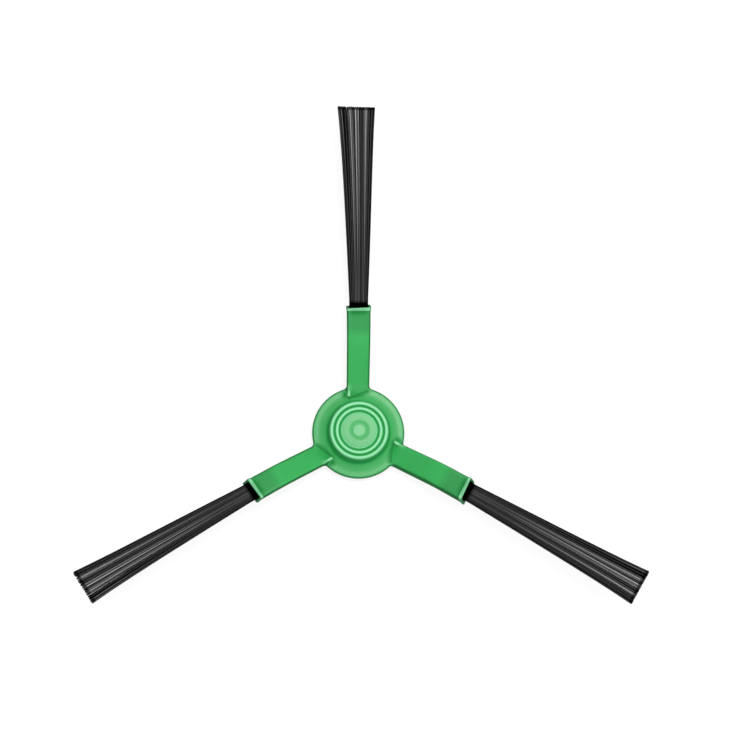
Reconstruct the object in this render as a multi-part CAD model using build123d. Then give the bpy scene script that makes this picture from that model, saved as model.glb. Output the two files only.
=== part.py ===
from build123d import *
import os
from math import asin, cos, degrees, radians, sin, sqrt, tan

# Robot vacuum side brush, in millimetres.
# The drive axis is Z, the skirt stands on Z = 0 and the side that faces the floor in use looks up.

# Skirt: the round flange that shields the drive shaft
skirt_radius = 10.5
skirt_height = 2.6
skirt_draft = 0.4
skirt_edge_round = 0.45
skirt_fall = 0.18
skirt_wall = 1.3

# Boss: the raised round middle with its ring ridges and gate mark
boss_radius = 6.7
boss_height = 6.3
boss_draft = 0.3
cove_height = 1.1
cove_reach = 8.3
ridge_width = 1.0
ridge_flat = 0.45
ridge_pitch = 1.2
ridge_depth = 0.4
face_drop = 0.1
gate_radius = 2.2
gate_depth = 0.3
nub_radius = 1.6
nub_flat = 1.05

# Arms: upright sides and a top that leans clockwise; they rise, bend flatter and end in a raked mouth
arm_count = 3
first_arm_angle = 90.0
arm_reach = 28.15
bend_reach = 21.0
bend_length = 2.5
root_reach = 8.2
root_middle_height = 1.12
arm_slope = 24.4
tuft_slope = 4.5
top_lean = 12.5
root_width = 5.1
mouth_width = 5.4
root_thickness = 2.2
mouth_thickness = 3.2
arm_corner = 0.6
root_fillet = 1.0
mouth_rake = 16.0
lip_length = 0.75
lip_proud = 0.13
lip_corner = 0.1

# Gussets: short level ribs on the counter-clockwise edge of each arm's root
gusset_start = 8.1
gusset_length = 3.4
gusset_width = 0.75
gusset_height = 3.75
gusset_inset = 0.05
gusset_corner = 0.22

# Tufts: straight filaments fanning out of a fused root in the arm's slot
mouth_wall = 0.45
slot_depth = 6.0
slot_corner = 0.4
fused_root_length = 3.0
exposed_length = 45.0
tip_width = 8.35
tip_thickness = 3.1
filament_diameter = 0.32
filament_columns = 11
filament_rows = 6
filament_clearance = 0.05
filament_bury = 0.5

# Drive socket and ribs on the back
bore_radius = 3.0
bore_depth = 4.6
key_width = 1.5
key_depth = 0.7
sleeve_wall = 1.4
core_depth = 2.2
rib_count = 6
rib_width = 0.9
rib_recess = 0.5


def turned(shape, index, count):
    return Rot(0, 0, first_arm_angle + index * 360 / count) * shape


def flats(centre_x, centre_z, radius, start, stop, count):
    angles = [radians(start + (stop - start) * i / count) for i in range(count + 1)]
    return [(centre_x + radius * cos(a), centre_z + radius * sin(a)) for a in angles]


def leaning(width, height):
    side = Vector(width / 2, width / 2 * tan(radians(top_lean)))
    rise = Vector(0, height / 2)
    return Polygon(side + rise, rise - side, -side - rise, side - rise, align=None)


# Skirt and boss, turned in one piece; their arcs are cut as a few flats
face_height = boss_height - face_drop
groove_height = boss_height - ridge_depth
gate_height = face_height - gate_depth
ridge_side = (ridge_width - ridge_flat) / 2
boss_root_radius = boss_radius + boss_draft
rim_reach = skirt_radius - skirt_edge_round
cove_foot = skirt_height + skirt_fall
cove_span = cove_reach - boss_root_radius
cove_radius = (cove_span**2 + cove_height**2) / (2 * cove_height)
cove_angle = degrees(asin(cove_span / cove_radius))
edge_height = skirt_height - skirt_edge_round

outline = [(0, face_height), (0, 0), (skirt_radius - skirt_draft, 0)]
outline += flats(rim_reach, edge_height, skirt_edge_round, 0, 90, 3)
outline += flats(cove_reach, cove_foot + cove_radius, cove_radius, 270, 270 - cove_angle, 4)
for outer in (boss_radius, boss_radius - ridge_pitch):
    outline.append((outer, groove_height))
    outline.append((outer - ridge_side, boss_height))
    outline.append((outer - ridge_width + ridge_side, boss_height))
    outline.append((outer - ridge_width, groove_height))
face_radius = boss_radius - 2 * ridge_pitch
outline.append((face_radius, groove_height))
outline.append((face_radius - ridge_side, face_height))
outline.append((gate_radius + gate_depth / 2, face_height))
outline.append((gate_radius - gate_depth / 2, gate_height))
outline.append((nub_radius, gate_height))
outline.append((nub_flat, face_height))
body = revolve(Plane.XZ * make_face(Polyline(*outline, close=True)), Axis.Z)

# Arm centre line in its own frame: X runs outward and Y towards the counter-clockwise side
bend_height = root_middle_height + (bend_reach - root_reach) * tan(radians(arm_slope))
mouth_height = bend_height + (arm_reach - bend_reach) * tan(radians(tuft_slope))


def arm_frame(reach, height, slope):
    return Plane(
        origin=(reach, 0, height),
        x_dir=(0, 1, 0),
        z_dir=(cos(radians(slope)), 0, sin(radians(slope))),
    )


def arm_section(reach):
    share = (reach - root_reach) / (arm_reach - root_reach)
    width = root_width + (mouth_width - root_width) * share
    thickness = root_thickness + (mouth_thickness - root_thickness) * share
    slope = arm_slope if reach < bend_reach else tuft_slope
    height = bend_height + (reach - bend_reach) * tan(radians(slope))
    blank = leaning(width, thickness)
    return arm_frame(reach, height, slope) * chamfer(blank.vertices().sort_by(Axis.Y)[-2:], arm_corner)


arm_start = boss_radius / 2
bend_start = bend_reach - bend_length
arm_end = arm_reach + mouth_thickness / 2
stations = [arm_start, (arm_start + bend_start) / 2, bend_start, bend_reach + bend_length, arm_end]
arm = loft([arm_section(reach) for reach in stations])

# Raked mouth with a lip round it, and the slot that takes the tuft
mouth_frame = arm_frame(arm_reach, mouth_height, tuft_slope)
rake_frame = mouth_frame * Rot(-mouth_rake, 0, 0)
lip_width = mouth_width + 2 * lip_proud
lip_thickness = mouth_thickness + 2 * lip_proud
lip_side = 2 * (lip_width + lip_thickness)
lip_blank = leaning(lip_width, lip_thickness)
lip_blank = chamfer(lip_blank.vertices().sort_by(Axis.Y)[-2:], arm_corner)
lip = Rot(mouth_rake, 0, 0) * extrude(lip_blank, lip_side / 2, both=True)
lip = lip & Pos(0, 0, -lip_length / 2) * Box(lip_side, lip_side, lip_length)
lip = chamfer(lip.edges().group_by(Axis.Z)[0] + lip.edges().group_by(Axis.Z)[-1], lip_corner)
beyond = Pos(0, 0, lip_side / 2) * Box(lip_side, lip_side, lip_side)
slot_width = mouth_width - 2 * mouth_wall
slot_thickness = mouth_thickness - 2 * mouth_wall
slot_sketch = leaning(slot_width, slot_thickness)
slot_sketch = chamfer(slot_sketch.vertices(), slot_corner)
slot = Pos(0, 0, -slot_depth) * extrude(slot_sketch, slot_depth + mouth_thickness)
arm = arm - rake_frame * beyond + rake_frame * lip - mouth_frame * slot

# Web that rounds the inner corners where an arm leaves the skirt
web_reach = skirt_radius + 2 * root_fillet
web_plan = Circle(skirt_radius) + Pos(web_reach / 2, 0) * Rectangle(web_reach, root_width)
web_corners = [v for v in web_plan.vertices() if abs(Vector(v).length - skirt_radius) < root_width / 100]
web_plan = fillet([v for v in web_corners if v.X > 0], root_fillet)
web = extrude(web_plan, edge_height)
under_height = root_middle_height - root_thickness / 2 / cos(radians(arm_slope))
under_frame = arm_frame(root_reach, under_height, arm_slope) * Rot(0, 0, top_lean)
web_side = skirt_radius * 4
keep = under_frame * Pos(0, web_side / 2, 0) * Box(web_side, web_side, web_side)
web = web & keep

gusset_middle = (root_width - gusset_width) / 2 - gusset_inset
gusset = Box(gusset_length, gusset_width, gusset_height - core_depth, align=(Align.MIN, Align.CENTER, Align.MIN))
gusset_top = gusset.edges().group_by(Axis.Z)[-1]
gusset = chamfer(gusset_top, gusset_corner)
gusset = Pos(gusset_start, gusset_middle, core_depth) * gusset

hub = body
for index in range(arm_count):
    hub = hub + turned(web, index, arm_count) + turned(arm, index, arm_count) + turned(gusset, index, arm_count)

# Back of the hub: cored skirt with ribs round a keyed push-on socket
sleeve_radius = bore_radius + sleeve_wall
core_radius = skirt_radius - skirt_draft - skirt_wall
core_outline = Polyline(
    (sleeve_radius, 0),
    (sleeve_radius, core_depth),
    (boss_radius, core_depth),
    (core_radius, skirt_height - skirt_wall),
    (core_radius, 0),
    close=True,
)
core = revolve(Plane.XZ * make_face(core_outline), Axis.Z)
rib = Pos(core_radius / 2, 0, rib_recess + core_depth / 2) * Box(core_radius, rib_width, core_depth)
for index in range(rib_count):
    core = core - turned(rib, index, rib_count)
bore = Pos(0, 0, bore_depth / 2) * Cylinder(bore_radius, bore_depth)
key_span = 2 * (bore_radius + key_depth)
bore = bore + Pos(0, 0, bore_depth / 2) * Box(key_span, key_width, bore_depth)
below = Pos(0, 0, -skirt_radius) * Box(4 * skirt_radius, 4 * skirt_radius, 2 * skirt_radius)
hub = hub - core - bore - below

# Tuft: straight filaments set out from the mouth and tip widths, standing in a fused root
mouth_spread = slot_width - filament_diameter - 2 * filament_clearance
mouth_depth = slot_thickness - filament_diameter - 2 * filament_clearance
tip_spread = tip_width - filament_diameter
tip_depth = tip_thickness - filament_diameter
filament_start = fused_root_length - slot_depth - filament_bury


def fan_point(across, through, along):
    share = along / exposed_length
    spread = mouth_spread + (tip_spread - mouth_spread) * share
    depth = mouth_depth + (tip_depth - mouth_depth) * share
    sideways = across * sqrt(1 - 0.35 * through**2) * spread / 2
    return Vector(sideways, through * depth / 2 + sideways * tan(radians(top_lean)), along)


tuft = Pos(0, 0, -slot_depth) * extrude(slot_sketch, fused_root_length)
filaments = []
for row in range(filament_rows):
    through = 2 * row / (filament_rows - 1) - 1
    stagger = 0.25 if row % 2 else 0.75
    for column in range(filament_columns):
        across = (2 * (column + stagger) - filament_columns) / (filament_columns - 0.5)
        foot = fan_point(across, through, filament_start)
        tip = fan_point(across, through, exposed_length)
        line = tip - foot
        section = Plane(origin=foot, z_dir=line) * RegularPolygon(filament_diameter / 2, 6)
        filaments.append(extrude(section, line.length, dir=line))
tuft = mouth_frame * tuft.fuse(*filaments)

os.makedirs("parts", exist_ok=True)
export_step(hub, "parts/hub.step")
for index in range(arm_count):
    export_step(turned(tuft, index, arm_count), f"parts/bristle_tuft_{index + 1}.step")
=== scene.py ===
from math import atan, cos, pi, radians, sin, sqrt, tan

import bmesh
import bpy
from mathutils import Matrix, Vector
from mathutils.bvhtree import BVHTree
from mathutils.kdtree import KDTree


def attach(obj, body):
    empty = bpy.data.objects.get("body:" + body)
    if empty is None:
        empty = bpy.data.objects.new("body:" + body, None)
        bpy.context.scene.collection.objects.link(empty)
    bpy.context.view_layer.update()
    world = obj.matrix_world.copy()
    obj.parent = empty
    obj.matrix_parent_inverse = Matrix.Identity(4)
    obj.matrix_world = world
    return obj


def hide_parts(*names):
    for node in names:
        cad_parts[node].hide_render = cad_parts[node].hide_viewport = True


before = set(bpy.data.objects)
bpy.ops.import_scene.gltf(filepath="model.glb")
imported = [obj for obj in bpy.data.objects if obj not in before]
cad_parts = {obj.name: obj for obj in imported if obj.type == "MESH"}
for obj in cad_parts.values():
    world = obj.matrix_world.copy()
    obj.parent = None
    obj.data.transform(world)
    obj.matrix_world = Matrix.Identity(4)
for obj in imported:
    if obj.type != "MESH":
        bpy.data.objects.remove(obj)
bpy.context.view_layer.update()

# Robot vacuum side brush: a green moulded hub with three arms, each holding a black tuft.
# Everything is drawn in millimetres in the frame's own axes and turned to metres as it is finished.
MM = 0.001

# Skirt and boss
skirt_radius = 10.5
skirt_height = 2.6
skirt_draft = 0.4
skirt_edge_round = 0.5
skirt_wall = 1.3
boss_radius = 6.7
boss_height = 6.3
boss_draft = 0.3
cove_height = 1.28
ridge_width = 1.0
ridge_flat = 0.45
ridge_pitch = 1.2
ridge_depth = 0.4
face_drop = 0.1
gate_radius = 1.82
gate_half_width = 0.52
gate_depth = 0.075

# Back of the hub
bore_radius = 3.0
bore_depth = 4.6
key_width = 1.5
key_depth = 0.7
sleeve_wall = 1.4
sleeve_land = 0.5
core_depth = 2.2
rib_count = 6
rib_width = 0.9
rib_recess = 0.5
rib_embed = 0.3
rib_edge_round = 0.12

# How far the corners of the turned body are eased along both their sides
gate_edge_ease = 0.22
gate_floor_ease = 0.16
ridge_ease = 0.2
groove_ease = 0.09
rim_ease = 0.14
foot_ease = 0.15
core_ease = 0.3
roof_ease = 0.5

# Arms
arm_count = 3
first_arm_angle = 90.0
arm_reach = 28.15
bend_reach = 21.0
bend_length = 2.5
root_reach = 8.2
root_middle_height = 1.12
arm_slope = 24.4
tuft_slope = 4.5
top_lean = 12.5
root_width = 5.1
mouth_width = 5.4
root_thickness = 2.2
mouth_thickness = 3.2
top_edge_round = 0.65
under_edge_round = 0.2
mouth_rake = 16.0
lip_length = 0.75
lip_proud = 0.13
mouth_wall = 0.45
slot_depth = 6.0
slot_corner = 0.4
gusset_start = 8.1
gusset_length = 3.4
gusset_width = 0.75
gusset_height = 3.75
gusset_inset = 0.05
gusset_round = 0.3

# Where an arm grows out of the skirt: its fillets, how deep its foot goes and where it stands clear
side_fillet = 0.9
top_fillet = 0.15
under_fillet = 0.35
foot_clearance = 0.45
foot_sink = 0.012
foot_bury = 0.5
root_inset = 1.0
root_end_height = 1.82
clear_length = 3.5

# Loops round three edges: the bore's as (height, opening out), the lip's as (distance along it,
# share of its proud height) and the slot's as (depth, opening out)
bore_edge = ((0, 0.15), (0.04, 0.04), (0.15, 0))
lip_edge = ((0.03, 0.5), (0.1, 0.85), (0.22, 1), (0.52, 1), (0.64, 0.85), (0.72, 0.5), (0.75, 0))
slot_edge = ((0, 0.12), (0.03, 0.03), (0.12, 0))

# The hub's finished skin: slivers are taken out, and painted shade lies near corners that bend
# inwards
sliver_width = 0.003
sharp_angle = 50.0
bend_smoothing = 2
corner_bend = -0.3
corner_shade_reach = 1.2

# Tufts
fused_root_length = 3.0
filament_bury = 0.5
filament_count = 170
filament_diameter = 0.29
filament_segments = 10
filament_sides = 6
mouth_play = 0.25
tip_width = 8.65
tip_thickness = 2.5
end_splay = 0.16
splay_power = 6.0
streak_count = 4.2
streak_pull = 0.1
layer_shift = 0.6
stray_at_tip = 0.1
trim_error = 0.06
corner_draw = 0.12
side_fill = 1.1
tuft_seed = 3
shade_seed_step = 40

# Steps of the filaments' even scatter, from one filament and from one seed to the next
scatter_step = (0.7548777, 0.5698403, 0)
seed_step = (0.37, 0.61, 0)

# Each tuft's own free length, drift towards the counter-clockwise side at its tip, and share of
# the full width
tufts = {
    "bristle_tuft_1": (45.4, 0.47, 1.0),
    "bristle_tuft_2": (44.5, 0.38, 0.99),
    "bristle_tuft_3": (44.8, -0.14, 0.96),
}

# Numbers of steps round the turned body, across arcs and flats, along an arm and over bevels
turn_steps = 120
cove_steps = 16
corner_steps = 5
flat_steps = 6
arm_steps = 24
root_steps = 4
gusset_bevel_steps = 4
rib_bevel_steps = 3

# The least that anything is divided by
tiny = 1e-6


def linear(code):
    """A colour written as an sRGB hex code, in the linear values that shaders take."""
    shares = [int(code[i : i + 2], 16) / 255 for i in (1, 3, 5)]
    return [s / 12.92 if s <= 0.04045 else ((s + 0.055) / 1.055) ** 2.4 for s in shares] + [1.0]


def add(tree, kind, inputs=None, **settings):
    """Adds a node with its settings; an input is a value or the output that feeds it."""
    node = tree.nodes.new(kind)
    for name, value in settings.items():
        setattr(node, name, value)
    for key, value in (inputs or {}).items():
        if isinstance(value, bpy.types.NodeSocket):
            tree.links.new(value, node.inputs[key])
        else:
            node.inputs[key].default_value = value
    return node


def output(tree, kind, inputs=None, **settings):
    """The first output of a new node."""
    return add(tree, kind, inputs, **settings).outputs[0]


def calc(tree, operation, *values):
    """The output of a sum on numbers."""
    return output(tree, "ShaderNodeMath", dict(enumerate(values)), operation=operation)


def vector_calc(tree, operation, *values):
    """The output of a sum on vectors."""
    return output(tree, "ShaderNodeVectorMath", dict(enumerate(values)), operation=operation)


def parts_of(tree, vector):
    """The X, Y and Z outputs of a vector."""
    return add(tree, "ShaderNodeSeparateXYZ", {0: vector}).outputs


def blend(tree, share, first, second):
    """The output of two numbers mixed."""
    return output(tree, "ShaderNodeMix", {0: share, 2: first, 3: second}, data_type="FLOAT")


def mix(tree, share, first, second):
    """The output of two colours mixed; a colour is a hex code or an output."""
    pair = [linear(colour) if isinstance(colour, str) else colour for colour in (first, second)]
    sockets = {0: share, 6: pair[0], 7: pair[1]}
    return add(tree, "ShaderNodeMix", sockets, data_type="RGBA").outputs[2]


def ramp(tree, value, start, stop, low=0.0, high=1.0):
    """The output of a value carried from one range to another."""
    sockets = {"Value": value, "From Min": start, "From Max": stop, "To Min": low, "To Max": high}
    return output(tree, "ShaderNodeMapRange", sockets)


def piece_of(name, shape):
    """An object at the origin that holds a bmesh."""
    mesh = bpy.data.meshes.new(name)
    shape.to_mesh(mesh)
    shape.free()
    piece = bpy.data.objects.new(name, mesh)
    bpy.context.scene.collection.objects.link(piece)
    return piece


def settle(piece):
    """Turns a piece's modifiers into its plain mesh."""
    graph = bpy.context.evaluated_depsgraph_get()
    settled = bpy.data.meshes.new_from_object(piece.evaluated_get(graph))
    unsettled = piece.data
    piece.modifiers.clear()
    piece.data = settled
    bpy.data.meshes.remove(unsettled)


def unite(piece, addition):
    """Joins another closed piece to this one in a single closed skin."""
    union = piece.modifiers.new("union", "BOOLEAN")
    union.operation = "UNION"
    union.solver = "EXACT"
    union.object = addition
    settle(piece)
    bpy.data.objects.remove(addition)


def skin(shape, loops):
    """Quads through closed loops with equal counts of points; returns the rows of vertices."""
    rows = [[shape.verts.new(point) for point in loop] for loop in loops]
    for row, after in zip(rows, rows[1:]):
        for i in range(len(row)):
            shape.faces.new((row[i - 1], row[i], after[i], after[i - 1]))
    return rows


def rounded(corners):
    """A line through corners given as (across, up, ease), each eased along both its sides."""
    places = [Vector(corner[:2]) for corner in corners]
    line = [places[0]]
    for before, place, after, corner in zip(places, places[1:], places[2:], corners[1:]):
        start = place + (before - place).normalized() * corner[2]
        end = place + (after - place).normalized() * corner[2]
        for step in range(corner_steps):
            share = step / (corner_steps - 1)
            line.append(start.lerp(place, share).lerp(place.lerp(end, share), share))
    return line + [places[-1]]


# Turned body: skirt, cove, boss with its ring ridges, and the cored back with the keyed socket
face_height = boss_height - face_drop
groove_height = boss_height - ridge_depth
ridge_side = (ridge_width - ridge_flat) / 2
face_radius = boss_radius - 2 * ridge_pitch
cap_radius = gate_radius / 4
boss_root = (boss_radius + boss_draft, skirt_height + cove_height)
rim_reach = skirt_radius - skirt_edge_round
rim_radius = skirt_radius - skirt_draft
core_radius = rim_radius - skirt_wall
sleeve_radius = bore_radius + sleeve_wall


def body_outside():
    """Half section from the face's middle over the gate ring, boss and skirt to the foot."""
    corners = [
        (cap_radius, face_height, 0),
        (gate_radius - gate_half_width, face_height, gate_edge_ease),
        (gate_radius, face_height - gate_depth, gate_floor_ease),
        (gate_radius + gate_half_width, face_height, gate_edge_ease),
        (face_radius - ridge_side, face_height, ridge_ease),
        (face_radius, groove_height, groove_ease),
    ]
    for outer in (boss_radius - ridge_pitch, boss_radius):
        corners += [
            (outer - ridge_width, groove_height, groove_ease),
            (outer - ridge_width + ridge_side, boss_height, ridge_ease),
            (outer - ridge_side, boss_height, ridge_ease),
            (outer, groove_height, groove_ease),
        ]
    corners.append((*boss_root, 0))
    start, rim = Vector(boss_root), Vector((rim_reach, skirt_height))
    foot = Vector((start.x, rim.y))
    shares = [step / (cove_steps + 1) for step in range(cove_steps)]
    cove = [start.lerp(foot, share).lerp(foot.lerp(rim, share), share) for share in shares]
    edge = [
        (*foot, 0),
        (*rim, rim_ease),
        (skirt_radius, skirt_height - skirt_edge_round, rim_ease),
        (rim_radius, 0, 0),
    ]
    return rounded(corners)[:-1] + cove + rounded(edge)[1:-1]


def body_back():
    """Half section of the back from the skirt's foot over the cored ring to the socket's sleeve."""
    return rounded(
        [
            (skirt_radius, skirt_height - skirt_edge_round, 0),
            (rim_radius, 0, foot_ease),
            (core_radius, 0, foot_ease),
            (core_radius, skirt_height - skirt_wall, core_ease),
            (boss_radius, core_depth, roof_ease),
            (sleeve_radius, core_depth, core_ease),
            (sleeve_radius, 0, foot_ease),
            (sleeve_radius - sleeve_land, 0, 0),
        ]
    )[1:]


def bore_loop(height, opened):
    """The bore's outline with its two key slots, opened out all round."""
    loop = []
    for i in range(turn_steps):
        a = 2 * pi * i / turn_steps
        across = (bore_radius + key_depth) / max(abs(cos(a)), tiny)
        beside = key_width / 2 / max(abs(sin(a)), tiny)
        radius = max(bore_radius, min(across, beside)) + opened
        loop.append((radius * cos(a), radius * sin(a), height))
    return loop


def turned_body():
    """The closed body: turned outside and back, and the keyed bore."""
    turns = [2 * pi * i / turn_steps for i in range(turn_steps)]
    half_section = body_outside() + body_back()
    loops = [[(p.x * cos(a), p.x * sin(a), p.y) for a in turns] for p in half_section]
    loops += [bore_loop(height, opened) for height, opened in (*bore_edge, (bore_depth, 0))]
    shape = bmesh.new()
    rows = skin(shape, loops)
    shape.faces.new(rows[0])
    shape.faces.new(rows[-1])
    bmesh.ops.recalc_face_normals(shape, faces=shape.faces)
    return shape


# Arm centre line in its own frame: X runs outward and Y towards the counter-clockwise side
bend_height = root_middle_height + (bend_reach - root_reach) * tan(radians(arm_slope))
slot_width = mouth_width - 2 * mouth_wall
slot_thickness = mouth_thickness - 2 * mouth_wall


def arm_frame(reach):
    """Places a section of the arm: its X lies across, its Y upward and its Z along the arm."""
    rise, last_rise = tan(radians(arm_slope)), tan(radians(tuft_slope))
    into_bend = min(max(reach - bend_reach + bend_length, 0), 2 * bend_length)
    past_bend = max(reach - bend_reach - bend_length, 0)
    before_bend = min(reach - bend_reach + bend_length, 0)
    bend_rate = (last_rise - rise) / (2 * bend_length)
    height = bend_height - rise * bend_length + rise * before_bend
    height += rise * into_bend + bend_rate * into_bend**2 / 2 + last_rise * past_bend
    slope = atan(rise + bend_rate * into_bend)
    along = Vector((cos(slope), 0, sin(slope)))
    across = Vector((0, 1, 0))
    placed = Matrix((across, along.cross(across), along)).transposed().to_4x4()
    placed.translation = (reach, 0, height)
    return placed


def arm_size(reach):
    """Width and thickness of the arm at a reach."""
    share = (reach - root_reach) / (arm_reach - root_reach)
    width = root_width + (mouth_width - root_width) * share
    return width, root_thickness + (mouth_thickness - root_thickness) * share


def leaning(width, thickness, top_round, under_round):
    """Points and outward normals round a section with upright sides and leaning top and bottom."""
    lean = tan(radians(top_lean))
    arcs = []
    for quarter, (side, level) in enumerate(((1, 1), (-1, 1), (-1, -1), (1, -1))):
        corner = top_round if level > 0 else under_round
        centre = Vector((side * (width / 2 - corner), level * (thickness / 2 - corner)))
        angles = [radians(90 * (quarter + i / corner_steps)) for i in range(corner_steps + 1)]
        normals = [Vector((cos(a), sin(a))) for a in angles]
        arcs.append([(centre + normal * corner, normal) for normal in normals])
    outline = []
    for arc, following in zip(arcs, arcs[1:] + arcs[:1]):
        outline += arc
        start, normal = arc[-1]
        end = following[0][0]
        outline += [(start.lerp(end, i / flat_steps), normal) for i in range(1, flat_steps)]
    return [
        (Vector((p.x, p.y + p.x * lean, 0)), Vector((n.x - n.y * lean, n.y, 0)).normalized())
        for p, n in outline
    ]


def section(reach, grown=0.0, rake=0.0):
    """Points round the arm at a reach, grown all round, the upper ones set back by the rake."""
    width, thickness = arm_size(reach)
    outline = leaning(width + 2 * grown, thickness + 2 * grown, top_edge_round, under_edge_round)
    placed, setback = arm_frame(reach), tan(radians(rake))
    return [placed @ Vector((p.x, p.y, -p.y * setback)) for p, _ in outline]


def arm_root(body_tree, from_reach):
    """Loops from inside the skirt out along a fillet to where the whole arm stands clear."""
    turn = arm_frame(from_reach).to_3x3()
    normals = [n for _, n in leaning(*arm_size(from_reach), top_edge_round, under_edge_round)]
    starts, stops = section(from_reach), section(skirt_radius - root_inset)
    rows = []
    for start, stop, normal in zip(starts, stops, normals):
        stop.z = max(stop.z, foot_clearance)
        line = (stop - start).normalized()
        met, face_normal, _, _ = body_tree.ray_cast(start, line)
        outward = turn @ normal
        level_fillet = top_fillet if normal.y > 0 else under_fillet
        fillet = side_fillet * normal.x**2 + level_fillet * normal.y**2
        away = (outward - face_normal * outward.dot(face_normal)).normalized()
        foot, foot_normal, _, _ = body_tree.find_nearest(met + away * fillet)
        foot = foot - foot_normal * foot_sink
        top = met - line * min(fillet, (start - met).length)
        row = [foot - foot_normal * foot_bury]
        for step in range(flat_steps + 1):
            share = step / flat_steps
            row.append(foot.lerp(met, share).lerp(met.lerp(top, share), share))
        row += [top.lerp(start, step / root_steps) for step in range(1, root_steps)]
        rows.append(row)
    return [list(loop) for loop in zip(*rows)]


def arm_shape(body_tree):
    """One arm: filleted root, bent length with a leaning top, raked mouth with a lip, and slot."""
    clear_reach = skirt_radius + clear_length
    lip_start = arm_reach - lip_length
    rake_start = bend_reach + bend_length
    loops = arm_root(body_tree, clear_reach)
    for i in range(arm_steps + 1):
        reach = clear_reach + (lip_start - clear_reach) * i / arm_steps
        rake_share = max(reach - rake_start, 0) / (lip_start - rake_start)
        loops.append(section(reach, 0, mouth_rake * rake_share))
    for along, proud in lip_edge:
        loops.append(section(lip_start + along, lip_proud * proud, mouth_rake))
    placed, rake = arm_frame(arm_reach), tan(radians(mouth_rake))
    slot_loops = [(depth, opened, rake) for depth, opened in slot_edge] + [(slot_depth, 0, 0)]
    for depth, opened, setback in slot_loops:
        corner = slot_corner + opened
        outline = leaning(slot_width + 2 * opened, slot_thickness + 2 * opened, corner, corner)
        loops.append([placed @ Vector((p.x, p.y, -p.y * setback - depth)) for p, _ in outline])
    shape = bmesh.new()
    rows = skin(shape, loops)
    middle = shape.verts.new((core_radius + skirt_wall / 2, 0, root_end_height))
    for before, after in zip(rows[0][-1:] + rows[0], rows[0]):
        shape.faces.new((middle, before, after))
    shape.faces.new(rows[-1])
    bmesh.ops.recalc_face_normals(shape, faces=shape.faces)
    return shape


def eased_block(size, middle, up, ease, steps):
    """A block with its upper edges rounded, or its lower ones where up is -1."""
    shape = bmesh.new()
    place = Matrix.Translation(middle) @ Matrix.Diagonal((*size, 1))
    bmesh.ops.create_cube(shape, size=1, matrix=place)
    edges = [e for e in shape.edges if all((v.co.z - middle[2]) * up > 0 for v in e.verts)]
    bmesh.ops.bevel(shape, geom=edges, offset=ease, segments=steps, profile=0.5, affect="EDGES")
    return shape


def gusset_shape():
    """Short level rib with a rounded top on the counter-clockwise edge of an arm's root."""
    size = (gusset_length, gusset_width, gusset_height - core_depth)
    aside = (root_width - gusset_width) / 2 - gusset_inset
    middle = (gusset_start + gusset_length / 2, aside, core_depth + size[2] / 2)
    return eased_block(size, middle, 1, gusset_round, gusset_bevel_steps)


def rib_shape():
    """Rib from the socket's sleeve to the skirt's wall, with rounded lower edges."""
    length = core_radius - sleeve_radius + 2 * rib_embed
    size = (length, rib_width, core_depth + rib_embed / 2 - rib_recess)
    middle = ((core_radius + sleeve_radius) / 2, 0, rib_recess + size[2] / 2)
    return eased_block(size, middle, -1, rib_edge_round, rib_bevel_steps)


def new_tree(name, inputs, result):
    """A geometry tree with inputs given as (name, kind) and one named geometry as its result."""
    tree = bpy.data.node_groups.new(name, "GeometryNodeTree")
    for title, kind in inputs:
        tree.interface.new_socket(title, in_out="INPUT", socket_type="NodeSocket" + kind)
    tree.interface.new_socket(result, in_out="OUTPUT", socket_type="NodeSocketGeometry")
    return tree, add(tree, "NodeGroupInput").outputs


def end_tree(tree, geometry, material):
    """Ends a geometry tree in real geometry of one material."""
    real = output(tree, "GeometryNodeRealizeInstances", {"Geometry": geometry})
    finish = {"Geometry": real, "Material": material}
    add(tree, "NodeGroupOutput", {0: output(tree, "GeometryNodeSetMaterial", finish)})


def set_inputs(modifier, values):
    """Sets a node modifier's inputs by the names that its tree gives them."""
    for socket in modifier.node_group.interface.items_tree:
        if socket.in_out == "INPUT" and socket.name in values:
            modifier[socket.identifier] = values[socket.name]


def ring_tree(material):
    """Geometry nodes that repeat a piece evenly round the drive axis."""
    inputs = (("Piece", "Geometry"), ("Count", "Int"), ("First Angle", "Float"))
    tree, given = new_tree("repeat_round_drive_axis", inputs, "Ring")
    index = output(tree, "GeometryNodeInputIndex")
    share = calc(tree, "DIVIDE", index, given["Count"])
    angle = calc(tree, "MULTIPLY_ADD", share, 2 * pi, given["First Angle"])
    turn = output(tree, "ShaderNodeCombineXYZ", {"Z": angle})
    points = output(tree, "GeometryNodePoints", {"Count": given["Count"]})
    placing = {"Points": points, "Instance": given["Piece"], "Rotation": turn}
    end_tree(tree, output(tree, "GeometryNodeInstanceOnPoints", placing), material)
    return tree


def repeat(piece, tree, count):
    """Repeats a piece round the drive axis, from the first arm's angle on."""
    ring = piece.modifiers.new("ring", "NODES")
    ring.node_group = tree
    set_inputs(ring, {"Count": count, "First Angle": radians(first_arm_angle)})
    settle(piece)


def store(tree, geometry, name, kind, value):
    """The output of a geometry whose points carry a named value."""
    return output(
        tree,
        "GeometryNodeStoreNamedAttribute",
        {"Geometry": geometry, "Name": name, "Value": value},
        data_type=kind,
        domain="POINT",
    )


def stored(tree, name, kind):
    """The output of a named value that a geometry's points carry."""
    return output(tree, "GeometryNodeInputNamedAttribute", {"Name": name}, data_type=kind)


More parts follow.
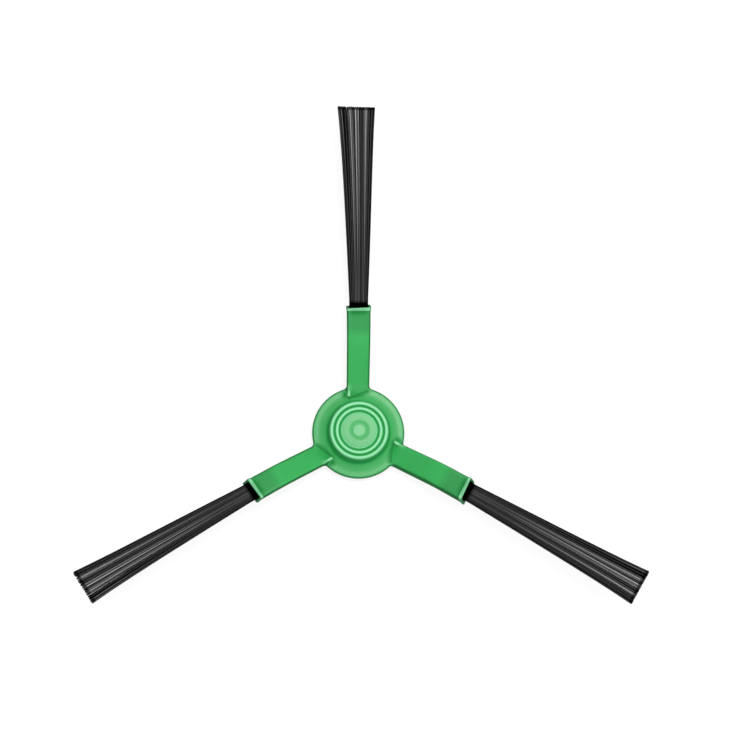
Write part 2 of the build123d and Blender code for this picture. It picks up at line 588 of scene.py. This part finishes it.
def tuft_points(tree, given):
    """Points that carry each filament's seat in the mouth, its streak, its stray and its shade."""
    # Seats: an even scatter from -1 to 1 each way, full along the sides, with the corners drawn in
    index = output(tree, "GeometryNodeInputIndex")
    stepped = vector_calc(tree, "MULTIPLY", index, scatter_step)
    shifted = vector_calc(tree, "MULTIPLY_ADD", given["Seed"], seed_step, stepped)
    wrapped = vector_calc(tree, "FRACTION", shifted)
    parts = parts_of(tree, vector_calc(tree, "MULTIPLY_ADD", wrapped, (2, 2, 0), (-1, -1, 0)))
    squared = calc(tree, "MULTIPLY", parts["Y"], parts["Y"])
    drawn_in = calc(tree, "SQRT", calc(tree, "MULTIPLY_ADD", squared, -corner_draw, 1.0))
    wide = calc(tree, "MULTIPLY", parts["X"], side_fill)
    full = output(tree, "ShaderNodeClamp", {"Value": wide, "Min": -1.0, "Max": 1.0})
    across = calc(tree, "MULTIPLY", full, drawn_in)
    seat = output(tree, "ShaderNodeCombineXYZ", {"X": across, "Y": parts["Y"]})

    # Streaks: filaments gather at even places across the tuft, a little aside from layer to layer
    turns = calc(tree, "MULTIPLY", given["Streaks"], pi)
    phase = calc(tree, "MULTIPLY_ADD", parts["Y"], layer_shift, pi)
    angle = calc(tree, "MULTIPLY_ADD", across, turns, phase)
    pull = calc(tree, "SINE", angle)
    clump = ramp(tree, calc(tree, "COSINE", angle), 1.0, -1.0)

    # Each filament strays its own way and has its own shade
    limits = {0: (-1, -1, -1), 1: (1, 1, 1), "Seed": given["Seed"]}
    stray = output(tree, "FunctionNodeRandomValue", limits, data_type="FLOAT_VECTOR")
    drawing = {"Seed": calc(tree, "ADD", given["Seed"], shade_seed_step)}
    shade = add(tree, "FunctionNodeRandomValue", drawing, data_type="FLOAT").outputs[1]

    points = output(tree, "GeometryNodePoints", {"Count": given["Filaments"]})
    for name, kind, value in (
        ("seat", "FLOAT_VECTOR", seat),
        ("stray", "FLOAT_VECTOR", stray),
        ("shade", "FLOAT", shade),
        ("pull", "FLOAT", pull),
        ("clump", "FLOAT", clump),
    ):
        points = store(tree, points, name, kind, value)
    return points


def filament_lines(tree, given, points):
    """Lines set along each filament's own path from its buried foot to its cut end."""
    line = output(tree, "GeometryNodeCurvePrimitiveLine", {"End": (0, 0, 1)})
    line = output(tree, "GeometryNodeResampleCurve", {"Curve": line, "Count": given["Segments"]})
    lines = output(tree, "GeometryNodeInstanceOnPoints", {"Points": points, "Instance": line})
    lines = output(tree, "GeometryNodeRealizeInstances", {"Geometry": lines})
    seat, stray = (stored(tree, name, "FLOAT_VECTOR") for name in ("seat", "stray"))

    # Where along the tuft a point lies, and how far the filaments fan out there
    factor = add(tree, "GeometryNodeSplineParameter").outputs["Factor"]
    foot = calc(tree, "MULTIPLY", given["Buried Length"], -1.0)
    stray_along = parts_of(tree, stray)["Z"]
    cut = calc(tree, "MULTIPLY_ADD", stray_along, given["Trim Error"], given["Free Length"])
    height = ramp(tree, factor, 0.0, 1.0, foot, cut)
    run = calc(tree, "DIVIDE", height, given["Free Length"])
    flare = blend(tree, given["End Splay"], run, calc(tree, "POWER", run, splay_power))
    half_sizes = {0: flare, 4: given["Mouth Half Size"], 5: given["Tip Half Size"]}
    size = add(tree, "ShaderNodeMix", half_sizes, data_type="VECTOR").outputs[1]
    spread = vector_calc(tree, "MULTIPLY", seat, size)

    # Filaments draw together in streaks towards the end, and each wanders a little
    pull = stored(tree, "pull", "FLOAT")
    pulled = calc(tree, "MULTIPLY_ADD", pull, given["Streak Pull"], given["Drift"])
    sideways = calc(tree, "MULTIPLY", pulled, calc(tree, "MULTIPLY", run, run))
    scaling = {0: stray, "Scale": calc(tree, "MULTIPLY", run, given["Stray"])}
    wander = output(tree, "ShaderNodeVectorMath", scaling, operation="SCALE")
    path = output(tree, "ShaderNodeCombineXYZ", {"X": sideways, "Z": height})
    path = vector_calc(tree, "ADD", path, spread)
    path = vector_calc(tree, "ADD", path, vector_calc(tree, "MULTIPLY", wander, (1, 1, 0)))
    lines = store(tree, lines, "run", "FLOAT", run)
    return output(tree, "GeometryNodeSetPosition", {"Geometry": lines, "Position": path})


def tuft_tree(material):
    """Geometry nodes that stand straight filaments in a fused root and fan them to a cut end."""
    inputs = (
        ("Filaments", "Int"),
        ("Segments", "Int"),
        ("Sides", "Int"),
        ("Diameter", "Float"),
        ("Mouth Half Size", "Vector"),
        ("Tip Half Size", "Vector"),
        ("Buried Length", "Float"),
        ("Free Length", "Float"),
        ("End Splay", "Float"),
        ("Drift", "Float"),
        ("Streaks", "Float"),
        ("Streak Pull", "Float"),
        ("Stray", "Float"),
        ("Trim Error", "Float"),
        ("Root Size", "Vector"),
        ("Root Middle", "Vector"),
        ("Seed", "Int"),
    )
    tree, given = new_tree("straight_cut_tuft", inputs, "Tuft")
    lines = filament_lines(tree, given, tuft_points(tree, given))
    radius = calc(tree, "MULTIPLY", given["Diameter"], 0.5)
    circle = {"Resolution": given["Sides"], "Radius": radius}
    ring = output(tree, "GeometryNodeCurvePrimitiveCircle", circle)
    threads = {"Curve": lines, "Profile Curve": ring, "Fill Caps": True}
    filaments = output(tree, "GeometryNodeCurveToMesh", threads)
    root = output(tree, "GeometryNodeMeshCube", {"Size": given["Root Size"]})
    placing = {"Geometry": root, "Translation": given["Root Middle"]}
    root = output(tree, "GeometryNodeTransform", placing)
    join = add(tree, "GeometryNodeJoinGeometry", {0: filaments})
    tree.links.new(root, join.inputs[0])
    end_tree(tree, join.outputs[0], material)
    return tree


def new_material(name):
    """A material and its empty node tree."""
    material = bpy.data.materials.new(name)
    material.use_nodes = True
    material.node_tree.nodes.clear()
    return material, material.node_tree


def finish_material(tree, values):
    """Ends a material's tree in a principled shader with the given values."""
    shader = output(tree, "ShaderNodeBsdfPrincipled", values)
    add(tree, "ShaderNodeOutputMaterial", {"Surface": shader})


def carried(tree, name, kind="Fac"):
    """The output of a named value that a mesh carries, for a material."""
    return add(tree, "ShaderNodeAttribute", attribute_name=name).outputs[kind]


def noise(tree, place, size, detail):
    """The output of a noise with lumps of a real size."""
    sockets = {"Vector": place, "Scale": 1 / size, "Detail": detail}
    return output(tree, "ShaderNodeTexNoise", sockets)


def moulded_plastic():
    """Injection-moulded ABS in green: satin skin, edges painted pale as highlight and wear, corners
    painted in shade.
    """
    green, fresh, backed = "#2BA850", "#35B35A", "#1F7C3E"
    pale_blush_and_highlight, painted_shade_green, painted_wall_shade = "#A0F4BC", "#15682F", "#14592B"
    flow_size, grain_size, grain_height = 6 * MM, 0.22 * MM, 0.03 * MM

    # Distances from the drive axis, in millimetres, over which the look changes
    by_gate = (1.0, 1.4)
    by_cove = (skirt_radius - 2, skirt_radius - 1)
    by_rim = (rim_reach - 0.6, rim_reach - 0.2)
    by_root = (skirt_radius, skirt_radius + 1)
    by_slot = (arm_reach - slot_depth - 1, arm_reach - slot_depth + 1)
    by_lip = (arm_reach - 1.4, arm_reach - 1.1)

    # Ranges of bend, above 0 on edges, and of how level the skin lies, 1 where it is flat
    on_edge, in_groove, dulled = (0.08, 0.85), (-0.3, -1.6), (-0.15, -0.5)
    level_skin, steep_skin = (0.92, 0.97), (0.86, 0.62)

    material, tree = new_material("moulded_abs_green")
    place = add(tree, "ShaderNodeTexCoord").outputs["Object"]
    flow = noise(tree, place, flow_size, detail=2.0)
    grain = noise(tree, place, grain_size, detail=3.0)
    bend, hollow = (carried(tree, name) for name in ("bend", "hollow"))
    facing = add(tree, "ShaderNodeNewGeometry").outputs["Normal"]
    level = calc(tree, "ABSOLUTE", parts_of(tree, facing)["Z"])
    measured = {0: vector_calc(tree, "MULTIPLY", place, (1, 1, 0))}
    distance = add(tree, "ShaderNodeVectorMath", measured, operation="LENGTH").outputs["Value"]

    def from_axis(span, low=0.0, high=1.0):
        """A value that changes over a span of distances from the drive axis."""
        return ramp(tree, distance, span[0] * MM, span[1] * MM, low, high)

    tone = mix(tree, flow, green, fresh)

    # The black tuft root inside shows faintly through the thin walls of the slot
    tone = mix(tree, from_axis(by_slot, 0.0, 0.5), tone, backed)

    # The gate mark is blushed; ridges, gussets and lips are painted pale as highlight and rubbed
    # wear; grooves are painted in shade and dull
    tone = mix(tree, from_axis(by_gate, 0.15, 0.0), tone, pale_blush_and_highlight)
    past_skirt = from_axis(by_root)
    on_arm = calc(tree, "MULTIPLY", past_skirt, from_axis(by_lip, 1.0, 0.0))
    on_rim = from_axis(by_rim, 0.85, 0.35)
    # Edges that bend outwards are painted pale: partly rubbed wear, mostly painted highlight
    highlight_and_wear = ramp(tree, bend, *on_edge, 0.0, blend(tree, on_arm, 0.8, 0.05))
    highlight_and_wear = calc(tree, "MULTIPLY", highlight_and_wear, from_axis(by_lip, on_rim, 1.0))
    tone = mix(tree, highlight_and_wear, tone, pale_blush_and_highlight)
    # Grooves and creases that bend inwards are painted darker as shade
    tone = mix(tree, ramp(tree, bend, *in_groove, 0.0, 0.2), tone, painted_shade_green)
    polish = ramp(tree, bend, *dulled, blend(tree, past_skirt, 0.5, 0.3), 0.08)

    # Level skin near a corner is painted in shade; steep sides keep the mould's matt texture and
    # are painted darker as shade
    shade_near_corner = ramp(tree, level, *level_skin, 0.0, blend(tree, hollow, 0.0, 0.6))
    tone = mix(tree, shade_near_corner, tone, painted_shade_green)
    polish = ramp(tree, shade_near_corner, 0.0, 0.4, polish, 0.05)
    steep = ramp(tree, level, *steep_skin)
    # Steep walls are painted darker as shade, more so away from the cove
    shaded = calc(tree, "MULTIPLY", steep, from_axis(by_cove, 0.25, 0.75))
    tone = mix(tree, shaded, tone, painted_wall_shade)
    gloss = blend(tree, grain, 0.27, 0.35)
    bump = {"Height": grain, "Strength": 0.12, "Distance": grain_height}

    finish_material(
        tree,
        {
            "Base Color": tone,
            "Roughness": blend(tree, steep, gloss, 0.75),
            "Specular IOR Level": blend(tree, steep, polish, 0.1),
            "Normal": output(tree, "ShaderNodeBump", bump),
            "IOR": 1.54,
            "Subsurface Weight": 0.1,
            "Subsurface Radius": (0.3, 1.0, 0.4),
            "Subsurface Scale": 0.6 * MM,
        },
    )
    return material


def nylon_filament():
    """Drawn black nylon: satin threads with painted highlight and shade in streaks, painted shade
    at the sides, a painted shadow in the mouth, darker at the cut.
    """
    # Colours of a thread painted in shade and painted lit, of the painted shadow in the mouth, and
    # of its end at the cut
    shaded, lit, mouth_shadow, at_cut = "#060606", "#3C3C3D", "#020202", "#060606"

    # Painted highlight and painted shade in streaks towards the tip, as the light on a thread over
    # which each comes in, and its colour
    streaks = ((0.5, 0.9, "#CECED0"), (0.45, 0.23, "#010101"))

    # Shares of the tuft's half width by its sides, and of its free length by the mouth and the cut
    by_side, by_mouth, by_cut = (0.76, 0.9), (0.015, 0.032), (0.98, 0.988)

    material, tree = new_material("drawn_nylon_black")
    shade, clump, run = (carried(tree, name) for name in ("shade", "clump", "run"))
    aside = calc(tree, "ABSOLUTE", parts_of(tree, carried(tree, "seat", "Vector"))["X"])

    # Painted light on a thread: its own shade and its streak's, with painted shade towards the
    # tuft's sides
    side_light = ramp(tree, run, 0.1, 0.9, 0.15, 0.6)
    inside = ramp(tree, aside, *by_side, 1.0, side_light)
    light = calc(tree, "MULTIPLY", blend(tree, 0.4, shade, clump), inside)
    tone = mix(tree, light, shaded, lit)
    toward_tip = ramp(tree, run, 0.2, 1.0)
    for start, stop, colour in streaks:
        share = calc(tree, "MULTIPLY", ramp(tree, light, start, stop), toward_tip)
        tone = mix(tree, share, tone, colour)
    # Painted shadow on the threads where they come out of the mouth
    tone = mix(tree, ramp(tree, run, *by_mouth, 1.0, 0.0), tone, mouth_shadow)
    tone = mix(tree, ramp(tree, run, *by_cut, 0.0, 0.8), tone, at_cut)
    shine = ramp(tree, light, 0.15, 0.75, 0.06, 0.6)
    shine = ramp(tree, run, *by_cut, shine, 0.05)
    finish_material(
        tree,
        {
            "Base Color": tone,
            "Roughness": 0.4,
            "IOR": 1.53,
            "Specular IOR Level": ramp(tree, run, *by_mouth, 0.0, shine),
        },
    )
    return material


def studio_paper():
    """White paper sweep: matt, lifted to plain white where the camera or a gloss sees it."""
    material, tree = new_material("white_studio_paper")
    light_path = add(tree, "ShaderNodeLightPath").outputs
    seen = light_path["Is Camera Ray"]
    for kind in ("Is Glossy Ray", "Is Transmission Ray"):
        seen = calc(tree, "MAXIMUM", seen, light_path[kind])
    finish_material(
        tree,
        {
            "Base Color": linear("#9A9A9A"),
            "Roughness": 0.9,
            "Specular IOR Level": 0.1,
            "Emission Color": linear("#FFFFFF"),
            "Emission Strength": blend(tree, seen, 0.0, 0.76),
        },
    )
    return material


def clear_slivers(mesh):
    """Takes out the needle-thin faces that uniting pieces can leave, as triangles throughout."""
    shape = bmesh.new()
    shape.from_mesh(mesh)
    bmesh.ops.triangulate(shape, faces=shape.faces)
    bmesh.ops.dissolve_degenerate(shape, dist=sliver_width, edges=shape.edges)
    bmesh.ops.triangulate(shape, faces=shape.faces)
    shape.to_mesh(mesh)
    shape.free()


def mark_bends(mesh):
    """Stores how sharply the skin bends, above 0 on edges, and how near it is to a corner painted
    in shade.
    """
    shape = bmesh.new()
    shape.from_mesh(mesh)
    shape.verts.index_update()

    # A vertex takes a third of each face round it and a quarter of each edge's turn
    areas = [sum(face.calc_area() for face in vert.link_faces) / 3 for vert in shape.verts]
    turns = [
        sum(edge.calc_face_angle_signed(0) * edge.calc_length() for edge in vert.link_edges) / 4
        for vert in shape.verts
    ]
    groups = [
        [vert.index] + [edge.other_vert(vert).index for edge in vert.link_edges]
        for vert in shape.verts
    ]

    def smoothed(values):
        """Each vertex's value averaged with those of its neighbours."""
        return [sum(values[i] for i in group) / len(group) for group in groups]

    for _ in range(bend_smoothing):
        areas, turns = smoothed(areas), smoothed(turns)
    bends = [turn / max(area, tiny) for turn, area in zip(turns, areas)]

    # Painted shade gathers in the corners at the arms' roots and behind the lips
    lowest = skirt_height - 0.2
    by_root = (boss_radius + 1.6, skirt_radius + 1)
    by_lip = (arm_reach - 2 * lip_length, arm_reach)
    corners = [
        vert.co
        for vert, bend in zip(shape.verts, bends)
        if bend < corner_bend
        and vert.co.z > lowest
        and any(start < vert.co.xy.length < stop for start, stop in (by_root, by_lip))
    ]
    near_corner = KDTree(len(corners))
    for i, place in enumerate(corners):
        near_corner.insert(place, i)
    near_corner.balance()
    hollows = [max(1 - near_corner.find(vert.co)[2] / corner_shade_reach, 0) for vert in shape.verts]
    for name, values in (("bend", bends), ("hollow", hollows)):
        mesh.attributes.new(name, "FLOAT", "POINT").data.foreach_set("value", values)
    shape.free()


def make_hub():
    """The green moulding: body, ribs, arms and gussets united in one skin."""
    body = turned_body()
    body_tree = BVHTree.FromBMesh(body)
    hub = piece_of("hub_moulding", body)
    plastic = moulded_plastic()
    ring = ring_tree(plastic)
    for name, shape, count in (
        ("back_ribs", rib_shape(), rib_count),
        ("arms", arm_shape(body_tree), arm_count),
        ("gussets", gusset_shape(), arm_count),
    ):
        addition = piece_of(name, shape)
        repeat(addition, ring, count)
        unite(hub, addition)
    clear_slivers(hub.data)
    mark_bends(hub.data)
    hub.data.transform(Matrix.Scale(MM, 4))
    hub.data.shade_smooth()
    hub.data.set_sharp_from_angle(angle=radians(sharp_angle))
    hub.data.materials.clear()
    hub.data.materials.append(plastic)
    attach(hub, "root")
    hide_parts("hub")


def make_tufts():
    """The three black tufts, each in the slot of its own arm."""
    tree = tuft_tree(nylon_filament())
    inset = filament_diameter + mouth_play
    lean = Matrix.Identity(4)
    lean[1][0] = tan(radians(top_lean))
    for index, (name, (free_length, drift, fullness)) in enumerate(tufts.items()):
        tuft = piece_of(name + "_filaments", bmesh.new())
        stand = tuft.modifiers.new("tuft", "NODES")
        stand.node_group = tree
        set_inputs(
            stand,
            {
                "Filaments": filament_count,
                "Segments": filament_segments,
                "Sides": filament_sides,
                "Diameter": filament_diameter,
                "Mouth Half Size": (
                    fullness * (slot_width - inset) / 2,
                    (slot_thickness - inset) / 2,
                    0,
                ),
                "Tip Half Size": (
                    fullness * (tip_width - filament_diameter) / 2,
                    (tip_thickness - filament_diameter) / 2,
                    0,
                ),
                "Buried Length": slot_depth - fused_root_length + filament_bury,
                "Free Length": free_length,
                "End Splay": end_splay,
                "Drift": drift,
                "Streaks": streak_count,
                "Streak Pull": streak_pull,
                "Stray": stray_at_tip,
                "Trim Error": trim_error,
                "Root Size": (slot_width, slot_thickness, fused_root_length),
                "Root Middle": (0, 0, fused_root_length / 2 - slot_depth),
                "Seed": tuft_seed,
            },
        )
        settle(tuft)
        turn = Matrix.Rotation(radians(first_arm_angle + index * 360 / arm_count), 4, "Z")
        tuft.data.transform(Matrix.Scale(MM, 4) @ turn @ arm_frame(arm_reach) @ lean)
        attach(tuft, "root")
        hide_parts(name)


def make_studio():
    """White paper floor under a pale dome, with one small softbox overhead; sizes in metres."""
    floor_half_size = 6
    bright_side = Vector((0.3, 0.05, 0.9)).normalized()
    dome_span, dome_dim, dome_bright = (-0.3, 1.0), 0.3, 1.15
    lamp_place, lamp_size, lamp_watts = Vector((0.06, 0.13, 0.7)), 0.14, 0.9

    scene = bpy.context.scene
    scene.view_settings.view_transform = "Standard"
    sheet = bmesh.new()
    bmesh.ops.create_grid(sheet, x_segments=1, y_segments=1, size=floor_half_size)
    floor = piece_of("floor", sheet)
    floor.data.materials.append(studio_paper())

    # The dome brightens towards one side, and the camera sees it as plain white
    world = bpy.data.worlds.new("white_studio")
    world.use_nodes = True
    tree = world.node_tree
    tree.nodes.clear()
    seen = add(tree, "ShaderNodeLightPath").outputs["Is Camera Ray"]
    ways = {0: add(tree, "ShaderNodeTexCoord").outputs["Generated"], 1: bright_side}
    toward = add(tree, "ShaderNodeVectorMath", ways, operation="DOT_PRODUCT").outputs["Value"]
    strength = calc(tree, "MAXIMUM", seen, ramp(tree, toward, *dome_span, dome_dim, dome_bright))
    glow = {"Color": linear("#FFFFFF"), "Strength": strength}
    add(tree, "ShaderNodeOutputWorld", {"Surface": output(tree, "ShaderNodeBackground", glow)})
    scene.world = world

    lamp = bpy.data.lights.new("overhead_softbox", "AREA")
    lamp.energy = lamp_watts
    lamp.size = lamp_size
    softbox = bpy.data.objects.new("overhead_softbox", lamp)
    softbox.location = lamp_place
    softbox.rotation_euler = (-lamp_place).to_track_quat("-Z", "Y").to_euler()
    softbox.visible_camera = False
    scene.collection.objects.link(softbox)


def make_camera():
    """Long lens nearly overhead, leaning a little to the south and west as in the photograph."""
    lean_south, lean_west, roll = radians(8.8), radians(3.02), radians(-0.375)
    picture_pixels, pixel_size = 750, 0.2272 * MM
    aim = Vector((4.0, 13.63, 0)) * MM
    distance, farthest = 2.0, 20
    back = Vector((-sin(lean_west), -sin(lean_south), 0))
    back.z = sqrt(1 - back.length_squared)
    right = Vector((0, 1, 0)).cross(back).normalized()
    up = back.cross(right)
    turned = Matrix((right, up, back)).transposed() @ Matrix.Rotation(roll, 3, "Z")
    lens = bpy.data.cameras.new("camera")
    lens.lens = lens.sensor_width * distance / (picture_pixels * pixel_size)
    lens.clip_end = farthest
    camera = bpy.data.objects.new("camera", lens)
    camera.matrix_world = Matrix.Translation(aim + back * distance) @ turned.to_4x4()
    bpy.context.scene.collection.objects.link(camera)
    bpy.context.scene.camera = camera


make_hub()
make_tufts()
make_studio()
make_camera()
